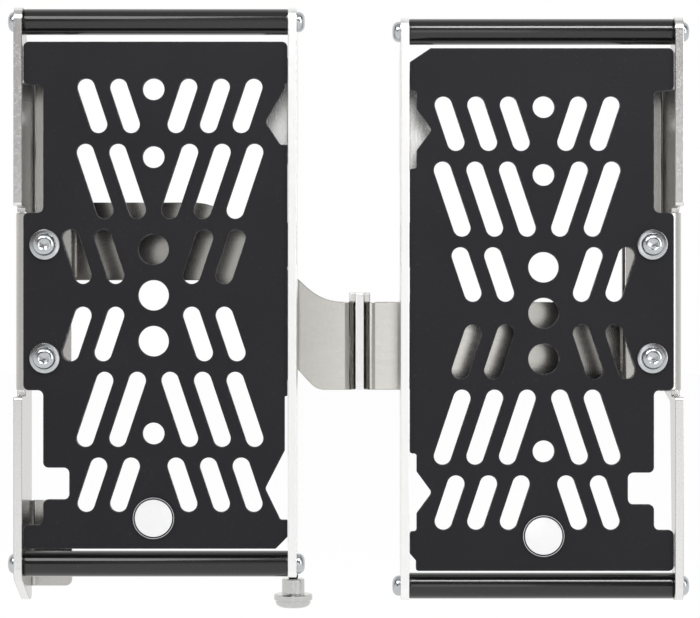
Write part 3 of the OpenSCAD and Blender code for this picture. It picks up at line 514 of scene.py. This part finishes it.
# Heads: diameter, height, width across the socket's flats, shank diameter, and the flat top's share of the diameter
M5_BUTTON = (9.4 * MM, 3.6 * MM, 3.0 * MM, 5.0 * MM, 0.36)
M6_BUTTON = (10.5 * MM, 3.3 * MM, 4.0 * MM, 6.0 * MM, 0.5)
FOOT_BUTTON = (16.4 * MM, 3.4 * MM, 4.0 * MM, 2.5 * MM, 0.5)
COLLAR = (14.0 * MM, 1.3 * MM)
NUT = (10.0 * MM, 5.0 * MM)
RIM_SHARE, SOCKET_SHARE = 0.22, 0.62
# A badge: how far its face lies under its rim, the thin bright line's place and width, and the rim's chamfer
BADGE_STEP, BADGE_LINE_IN, BADGE_LINE_W, BADGE_CHAMFER = 0.2 * MM, 0.55 * MM, 0.28 * MM, 0.15 * MM


def button_rings(head, grip, collar, threaded):
    """A button head's outline from the socket's floor to the shank's end: a drilled point, a hexagon that
    opens into a round countersink, a flat top, a quarter ellipse, a short straight rim and the shank."""
    head_d, head_h, flats, shank_d, flat_top = head
    steps = sizes().round_steps
    base = COLLAR[1] if collar else 0.0
    top = base + head_h
    floor = base + head_h * (1 - SOCKET_SHARE)
    fine = 0.12 * MM
    hexagon = hex_radius(steps, flats)
    mouth = flats / np.sqrt(3) * 1.08
    rings = [(fine, floor - flats * 0.16), (hexagon * 0.72, floor - fine), (hexagon, floor),
             (hexagon, top - 2.2 * fine), (mouth, top - fine / 2), (mouth + fine, top)]
    rise = np.linspace(80.0, 0.0, 10) * np.pi / 180
    rim, dome = head_h * RIM_SHARE, head_h * (1 - RIM_SHARE)
    for a in rise:
        rings.append((head_d / 2 * (flat_top + (1 - flat_top) * np.cos(a)), base + rim + dome * np.sin(a)))
    rings += [(head_d / 2, base + fine), (head_d / 2 - fine, base)]
    if collar:
        edge = COLLAR[0] / 2
        rings += [(edge - 3 * fine, base - fine / 2), (edge - fine, base - fine), (edge, base - 2.5 * fine),
                  (edge, 1.5 * fine), (edge - fine, fine / 4), (edge - 2 * fine, 0.0)]
    shank = shank_d / 2
    if threaded:
        start = -max(grip - 9 * MM, 0.5 * MM)
        rings += [(shank, 0.0), (shank, start)]
        rings += thread_rings(shank, start - fine, -grip + 5 * fine, steps)
        rings += [(shank - 5 * fine, -grip)]
    else:
        rings += [(shank, 0.0), (shank, -grip + 4 * fine), (shank - 4 * fine, -grip)]
    return turned(rings, steps)


def nut_rings():
    """A nut's outline, bore to bore round the outside: the faces' corners are cut by a 30 degree cone, so the
    height at the hexagon's edge falls with the distance past the cone's circle."""
    flats, height = NUT
    steps = sizes().round_steps
    hexagon = hex_radius(steps, flats)
    bore = NUT_BORE
    circle = flats / 2 * 0.96
    drop = np.maximum(hexagon - circle, 0.0) * np.tan(np.radians(30.0))
    lip = 0.35 * MM
    rings = [(bore, lip), (bore + lip, 0.0), (circle, 0.0), (hexagon, drop), (hexagon, height - drop),
             (circle, height), (bore + lip, height), (bore, height - lip), (bore, lip)]
    return turned(rings, steps)


def axis_span(name, axis):
    """Where a node starts and ends along an axis, in that axis's direction, and the middle of its box."""
    low, high = (np.array(corner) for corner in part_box(name))
    along = np.array(AXES[axis], float)
    ends = sorted((float(low @ along), float(high @ along)))
    return ends[0], ends[1], (low + high) / 2


def seat_point(name, axis, below_top):
    """The point on a node's axis that lies so far under its highest end along the axis."""
    _, end, middle = axis_span(name, axis)
    along = np.array(AXES[axis], float)
    return middle + along * (end - below_top - float(middle @ along))


def add_screw(name, axis, head, collar=False, threaded=True, material=None):
    """A button screw in place of a node, as long as the node is."""
    start, end, _ = axis_span(name, axis)
    above = head[1] + (COLLAR[1] if collar else 0.0)
    points = button_rings(head, end - start - above, collar, threaded)
    mesh = grid_mesh(name + "_turned", on_axis(points, axis, seat_point(name, axis, above)))
    add_piece(name, "turned", outward(mesh), [material or zinc_metal()])


def add_nut(name, axis):
    """A nut in place of a node, seated at the node's far end."""
    points = on_axis(nut_rings(), axis, seat_point(name, axis, NUT[1]))
    mesh = grid_mesh(name + "_chamfered", points, closed_ends=False)
    merge_close(mesh)
    add_piece(name, "chamfered", outward(mesh), [zinc_metal()])


def merge_close(mesh):
    """Joins a ring-shaped mesh's first and last rings, which lie on each other."""
    work = bmesh.new()
    work.from_mesh(mesh)
    bmesh.ops.remove_doubles(work, verts=work.verts, dist=MESH_MERGE)
    work.to_mesh(mesh)
    work.free()


def mark_cut_faces(work, thick, rounded):
    """Marks the faces that the cutter left: those as wide as the sheet is thick, across their own normal."""
    layer = work.faces.layers.float["cut_face"]
    for face in work.faces:
        points = np.array([v.co for v in face.verts])
        extent = np.ptp(points, axis=0)
        across = (np.abs(extent - thick) < CUT_SLACK) & (np.abs(np.array(face.normal)) < CUT_LEAN)
        if across.any() and face not in rounded:
            face[layer] = 1.0


def soft_sheet(name, material, edge, thick):
    """A node's own surface with its sharp edges rounded: flat triangles are joined, and each edge that turns by
    more than ROUNDED_TURN is cut back by the same width and carried over by two strips."""
    work = bmesh.new()
    work.from_mesh(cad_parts[name].data)
    work.faces.layers.float.new("sheet_edge")
    work.faces.layers.float.new("cut_face")
    bmesh.ops.remove_doubles(work, verts=work.verts, dist=NODE_MERGE)
    bmesh.ops.dissolve_limit(work, angle_limit=np.radians(FLAT_TURN), verts=work.verts, edges=work.edges)
    sharp = [e for e in work.edges if e.is_manifold and e.calc_face_angle(0.0) > np.radians(ROUNDED_TURN)]
    cut = bmesh.ops.bevel(work, geom=sharp, offset=edge, offset_type="OFFSET", segments=2, profile=0.6,
                          affect="EDGES", clamp_overlap=False, material=-1)
    layer = work.faces.layers.float["sheet_edge"]
    for face in cut["faces"]:
        face[layer] = 1.0
    mark_cut_faces(work, thick - 2 * edge, set(cut["faces"]))
    mesh = bpy.data.meshes.new(name + "_sheet")
    work.to_mesh(mesh)
    work.free()
    mesh.shade_smooth()
    mesh.set_sharp_from_angle(angle=np.radians(SHEET_SHARP))
    piece = add_piece(name, "sheet", mesh, [material])
    flats = piece.modifiers.new("Flats before folds", "WEIGHTED_NORMAL")
    flats.weight = 100
    flats.keep_sharp = True


def lathe_piece(name, finish, origin, rings, material):
    """A piece turned round the Z axis from radius and height pairs, in place of a node."""
    mesh = grid_mesh(f"{name}_{finish}", on_axis(turned(rings, sizes().round_steps), "+z", origin))
    add_piece(name, finish, outward(mesh), [material])


# Operators

class GUARD_OT_stage(bpy.types.Operator):
    """Floor, world, lamps and the camera at the photograph's place"""
    bl_idname = "guard.stage"
    bl_label = "Stage"

    def execute(self, context):
        scene = context.scene
        scene.view_settings.view_transform = "Standard"
        low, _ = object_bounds()
        self.camera(scene)
        self.world(scene)
        self.floor(low[2] - FLOOR_DROP)
        for lamp in LAMPS:
            self.lamp(*lamp)
        return {"FINISHED"}

    def camera(self, scene):
        """In front of the grilles, looking straight along +Y."""
        data = bpy.data.cameras.new("Camera")
        data.sensor_width = SENSOR
        data.lens = LENS
        data.clip_start = 0.05
        data.clip_end = 50.0
        camera = bpy.data.objects.new("Camera", data)
        scene.collection.objects.link(camera)
        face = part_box("left_grille")[0][1]
        camera.location = (CAMERA_X, face - CAMERA_DISTANCE, CAMERA_Z)
        camera.rotation_euler = (np.pi / 2, 0.0, 0.0)
        scene.camera = camera

    def world(self, scene):
        """White to the camera and in reflections of the backdrop. For the rest, a soft band of light at the object's
        height and another overhead, with darker walls between them and a dark flag on each side of the camera."""
        world = bpy.data.worlds.new("Studio")
        scene.world = world
        world.use_nodes = True
        tree = world.node_tree
        tree.nodes.clear()
        place = tree.nodes.new("ShaderNodeTexCoord")
        split = tree.nodes.new("ShaderNodeSeparateXYZ")
        link(tree, place.outputs["Generated"], split.inputs[0])
        rise = node(tree, "ShaderNodeMapRange")
        rise.inputs["From Min"].default_value = -1.0
        link(tree, split.outputs["Z"], rise.inputs["Value"])
        walls = tree.nodes.new("ShaderNodeValToRGB")
        for position, _ in WALL_LEVELS[1:-1]:
            walls.color_ramp.elements.new(position)
        for element, (position, level) in zip(walls.color_ramp.elements, WALL_LEVELS):
            element.position = position
            element.color = (level, level, level, 1.0)
        link(tree, rise.outputs["Result"], walls.inputs["Fac"])
        sky = tree.nodes.new("ShaderNodeBackground")
        beside = node(tree, "ShaderNodeMath", operation="ABSOLUTE")
        link(tree, split.outputs["X"], beside.inputs[0])
        flags = None
        for value, (low, high) in ((beside.outputs[0], FLAG_X), (split.outputs["Z"], FLAG_Z),
                                   (split.outputs["Y"], FLAG_Y)):
            part = node(tree, "ShaderNodeMapRange")
            part.inputs["From Min"].default_value = low
            part.inputs["From Max"].default_value = high
            link(tree, value, part.inputs["Value"])
            if flags is None:
                flags = part.outputs["Result"]
            else:
                both = node(tree, "ShaderNodeMath", operation="MULTIPLY")
                link(tree, flags, both.inputs[0])
                link(tree, part.outputs["Result"], both.inputs[1])
                flags = both.outputs[0]
        link(tree, mixed(tree, flags, walls.outputs["Color"], FLAG_COLOUR), sky.inputs["Color"])
        white = node(tree, "ShaderNodeBackground")
        white.inputs["Color"].default_value = (1.0, 1.0, 1.0, 1.0)
        behind = node(tree, "ShaderNodeMapRange")
        behind.inputs["From Max"].default_value = BACKDROP_EDGE
        link(tree, split.outputs["Y"], behind.inputs["Value"])
        path = tree.nodes.new("ShaderNodeLightPath")
        mirrored = node(tree, "ShaderNodeMath", operation="MAXIMUM")
        link(tree, path.outputs["Is Glossy Ray"], mirrored.inputs[0])
        link(tree, path.outputs["Is Transmission Ray"], mirrored.inputs[1])
        backdrop = node(tree, "ShaderNodeMath", operation="MULTIPLY")
        link(tree, mirrored.outputs[0], backdrop.inputs[0])
        link(tree, behind.outputs["Result"], backdrop.inputs[1])
        seen = node(tree, "ShaderNodeMath", operation="MAXIMUM")
        link(tree, path.outputs["Is Camera Ray"], seen.inputs[0])
        link(tree, backdrop.outputs[0], seen.inputs[1])
        mix = tree.nodes.new("ShaderNodeMixShader")
        out = tree.nodes.new("ShaderNodeOutputWorld")
        link(tree, seen.outputs[0], mix.inputs[0])
        link(tree, sky.outputs[0], mix.inputs[1])
        link(tree, white.outputs[0], mix.inputs[2])
        link(tree, mix.outputs[0], out.inputs[0])

    def floor(self, height):
        """A flat pale floor with the object's soft shadow on it: its points are (u, v, height) at four corners."""
        u, v = np.meshgrid((-FLOOR_HALF_W, FLOOR_HALF_W), (-FLOOR_HALF_W, FLOOR_HALF_W))
        points = np.stack([u.ravel(), v.ravel(), np.full(4, height)], axis=-1)
        mesh = bpy.data.meshes.new("Floor")
        mesh.from_pydata(points.tolist(), [], [(0, 1, 3, 2)])
        floor = bpy.data.objects.new("Floor", mesh)
        bpy.context.scene.collection.objects.link(floor)
        material, tree, shader = new_material("Pale floor")
        shader.inputs["Base Color"].default_value = (*colours().floor, 1.0)
        shader.inputs["Roughness"].default_value = 0.9
        shader.inputs["Specular IOR Level"].default_value = 0.1
        glow = node(tree, "ShaderNodeEmission", in_Strength=FLOOR_GLOW)
        path = tree.nodes.new("ShaderNodeLightPath")
        either = node(tree, "ShaderNodeMath", operation="MAXIMUM")
        link(tree, path.outputs["Is Camera Ray"], either.inputs[0])
        link(tree, path.outputs["Is Glossy Ray"], either.inputs[1])
        seen = node(tree, "ShaderNodeMath", operation="MULTIPLY")
        seen.inputs[1].default_value = FLOOR_GLOW_SHARE
        link(tree, either.outputs[0], seen.inputs[0])
        mix = tree.nodes.new("ShaderNodeMixShader")
        link(tree, seen.outputs[0], mix.inputs[0])
        link(tree, shader.outputs[0], mix.inputs[1])
        link(tree, glow.outputs[0], mix.inputs[2])
        link(tree, mix.outputs[0], tree.nodes["Material Output"].inputs["Surface"])
        mesh.materials.append(material)
        floor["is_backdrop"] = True

    def lamp(self, name, place, extent, power, target):
        data = bpy.data.lights.new(name, "AREA")
        data.shape = "RECTANGLE"
        data.size, data.size_y = extent
        data.energy = power
        lamp = bpy.data.objects.new(name, data)
        bpy.context.scene.collection.objects.link(lamp)
        lamp.location = place
        aim = Vector(target) - lamp.location
        lamp.rotation_euler = aim.to_track_quat("-Z", "Y").to_euler()


class GUARD_OT_sheets(bpy.types.Operator):
    """Grilles, side plates, straps and the middle plate, with their cut edges rounded"""
    bl_idname = "guard.sheets"
    bl_label = "Sheet parts"

    def execute(self, context):
        edge = sizes().sheet_edge
        for side in SIDES:
            soft_sheet(side + "_grille", grille_paint(), edge, SHEET_T)
            soft_sheet(side + "_outer_plate", outer_metal(), edge, PLATE_T)
            soft_sheet(side + "_inner_plate", inner_metal(), edge, PLATE_T)
            soft_sheet(side + "_strap", strap_metal(), edge, SHEET_T)
        soft_sheet("middle_plate", inner_metal(), edge, PLATE_T)
        return {"FINISHED"}


class GUARD_OT_tubes(bpy.types.Operator):
    """Cross tubes with chamfered ends and a plain bore right through"""
    bl_idname = "guard.tubes"
    bl_label = "Cross tubes"

    def execute(self, context):
        cut = sizes().tube_end
        bore = TUBE_BORE
        for side in SIDES:
            for end in ("top", "bottom"):
                name = f"{side}_{end}_tube"
                start, stop, middle = axis_span(name, "+x")
                low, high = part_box(name)
                radius = (high[2] - low[2]) / 2
                half = (stop - start) / 2
                rings = [(bore, -half), (radius - cut, -half), (radius - cut * 0.3, -half + cut * 0.3),
                         (radius, -half + cut)]
                rings += [(radius, z) for z in np.linspace(-half + 2 * cut, half - 2 * cut, 12)]
                rings += [(radius, half - cut), (radius - cut * 0.3, half - cut * 0.3), (radius - cut, half),
                          (bore, half), (bore, -half)]
                points = on_axis(turned(rings, sizes().round_steps), "+x", middle)
                mesh = grid_mesh(name + "_coated", points, closed_ends=False)
                merge_close(mesh)
                add_piece(name, "coated", outward(mesh), [tube_paint()])
        return {"FINISHED"}


class GUARD_OT_screws(bpy.types.Operator):
    """Button screws and nuts of the tubes, grilles, straps and joint"""
    bl_idname = "guard.screws"
    bl_label = "Screws and nuts"

    def execute(self, context):
        outward_axis = {"left": {"outer": "-x", "inner": "+x"}, "right": {"outer": "+x", "inner": "-x"}}
        for side in SIDES:
            for end in ("top", "bottom"):
                for way in ("outer", "inner"):
                    add_screw(f"{side}_{end}_{way}_screw", outward_axis[side][way], M5_BUTTON, threaded=False)
            for level in ("upper", "lower"):
                add_screw(f"{side}_{level}_grille_screw", "-y", M6_BUTTON, collar=True)
                add_nut(f"{side}_{level}_grille_nut", "+y")
                add_screw(f"{side}_{level}_strap_screw", "+y", M6_BUTTON)
                add_nut(f"{side}_{level}_strap_nut", "+y")
        for level in ("upper", "lower"):
            add_screw(f"{level}_joint_screw", "-x", M6_BUTTON)
            add_nut(f"{level}_joint_nut", "+x")
        return {"FINISHED"}


class GUARD_OT_foot(bpy.types.Operator):
    """Rubber ring, turned collar and domed screw under the left guard"""
    bl_idname = "guard.foot"
    bl_label = "Foot"

    def execute(self, context):
        cut = sizes().turned_edge
        low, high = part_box("foot_ring")
        centre = np.array(((low[0] + high[0]) / 2, (low[1] + high[1]) / 2, low[2]))
        radius, height, corner = (high[0] - low[0]) / 2, high[2] - low[2], 0.35 * MM
        bulge = np.linspace(-1.0, 1.0, 13)
        rings = [(RING_BORE, 0.0)]
        rings += [(radius - corner * b ** 4, height * (b + 1) / 2) for b in bulge]
        rings += [(RING_BORE, height)]
        lathe_piece("foot_ring", "moulded", centre, rings, ring_rubber())
        low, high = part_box("foot_collar")
        centre[2] = low[2]
        rim, height, fillet = (high[0] - low[0]) / 2, high[2] - low[2], cut * 0.6
        rings = [(COLLAR_BORE, 0.0), (rim - cut, 0.0), (rim, cut), (rim, RIM_T - cut), (rim - cut, RIM_T),
                 (BARREL_R + fillet, RIM_T), (BARREL_R, RIM_T + fillet), (BARREL_R, height * 0.6),
                 (BARREL_R, height - cut), (BARREL_R - cut, height), (COLLAR_BORE, height)]
        lathe_piece("foot_collar", "turned", centre, rings, foot_metal())
        add_screw("foot_screw", "-z", FOOT_BUTTON, threaded=False, material=foot_metal())
        return {"FINISHED"}


class GUARD_OT_badges(bpy.types.Operator):
    """Round plain badges, with a dark rim and a clear domed face"""
    bl_idname = "guard.badges"
    bl_label = "Badges"

    def execute(self, context):
        for side in SIDES:
            name = side + "_badge"
            low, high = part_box(name)
            radius, thick = (high[0] - low[0]) / 2, high[1] - low[1]
            centre = np.array(((low[0] + high[0]) / 2, high[1], (low[2] + high[2]) / 2))
            rim, dome = sizes().badge_rim, sizes().badge_dome
            inner = radius - rim
            face = thick - BADGE_STEP
            spread = np.linspace(0.0, 1.0, 14)
            rings = [(0.02 * MM, face + dome)]
            rings += [(inner * s, face + dome * (1.0 - s ** 2)) for s in spread[1:]]
            line = radius - BADGE_LINE_IN
            line_end = line + BADGE_LINE_W
            rings += [(inner + 0.05 * MM, thick - 0.04 * MM), (inner + 0.2 * MM, thick), (line, thick),
                      (line_end, thick), (radius - BADGE_CHAMFER, thick), (radius, thick - BADGE_CHAMFER),
                      (radius, 0.0)]
            mesh = grid_mesh(name + "_disc", on_axis(turned(rings, sizes().round_steps), "-y", centre))
            add_piece(name, "disc", outward(mesh), [badge_face(), tube_paint(), zinc_metal()])
            middles = np.zeros(len(mesh.polygons) * 3)
            mesh.polygons.foreach_get("center", middles)
            far = np.linalg.norm(middles.reshape(-1, 3)[:, ::2] - centre[::2], axis=1)
            on_rim, on_line = far > inner, (far > line) & (far < line_end)
            mesh.polygons.foreach_set("material_index", on_rim.astype(np.int32) + on_line.astype(np.int32))
        return {"FINISHED"}


OPERATORS = (GUARD_OT_stage, GUARD_OT_sheets, GUARD_OT_tubes, GUARD_OT_screws, GUARD_OT_foot, GUARD_OT_badges)


class GUARD_PT_panel(bpy.types.Panel):
    """Sizes, colours and the steps that make the guard"""
    bl_idname = "GUARD_PT_panel"
    bl_label = "Radiator Guard"
    bl_space_type = "VIEW_3D"
    bl_region_type = "UI"
    bl_category = "Guard"

    def draw(self, context):
        for group in (context.scene.guard_sizes, context.scene.guard_colours):
            box = self.layout.box()
            for name in group.__annotations__:
                box.prop(group, name)
        for operator in OPERATORS:
            self.layout.operator(operator.bl_idname)


CLASSES = (GuardSizes, GuardColours) + OPERATORS + (GUARD_PT_panel,)


def register():
    for cls in CLASSES:
        bpy.utils.register_class(cls)
    bpy.types.Scene.guard_sizes = PointerProperty(type=GuardSizes)
    bpy.types.Scene.guard_colours = PointerProperty(type=GuardColours)


def unregister():
    del bpy.types.Scene.guard_colours
    del bpy.types.Scene.guard_sizes
    for cls in reversed(CLASSES):
        bpy.utils.unregister_class(cls)


def main():
    register()
    bpy.ops.guard.stage()
    bpy.ops.guard.sheets()
    bpy.ops.guard.tubes()
    bpy.ops.guard.screws()
    bpy.ops.guard.foot()
    bpy.ops.guard.badges()


if __name__ == "__main__":
    main()
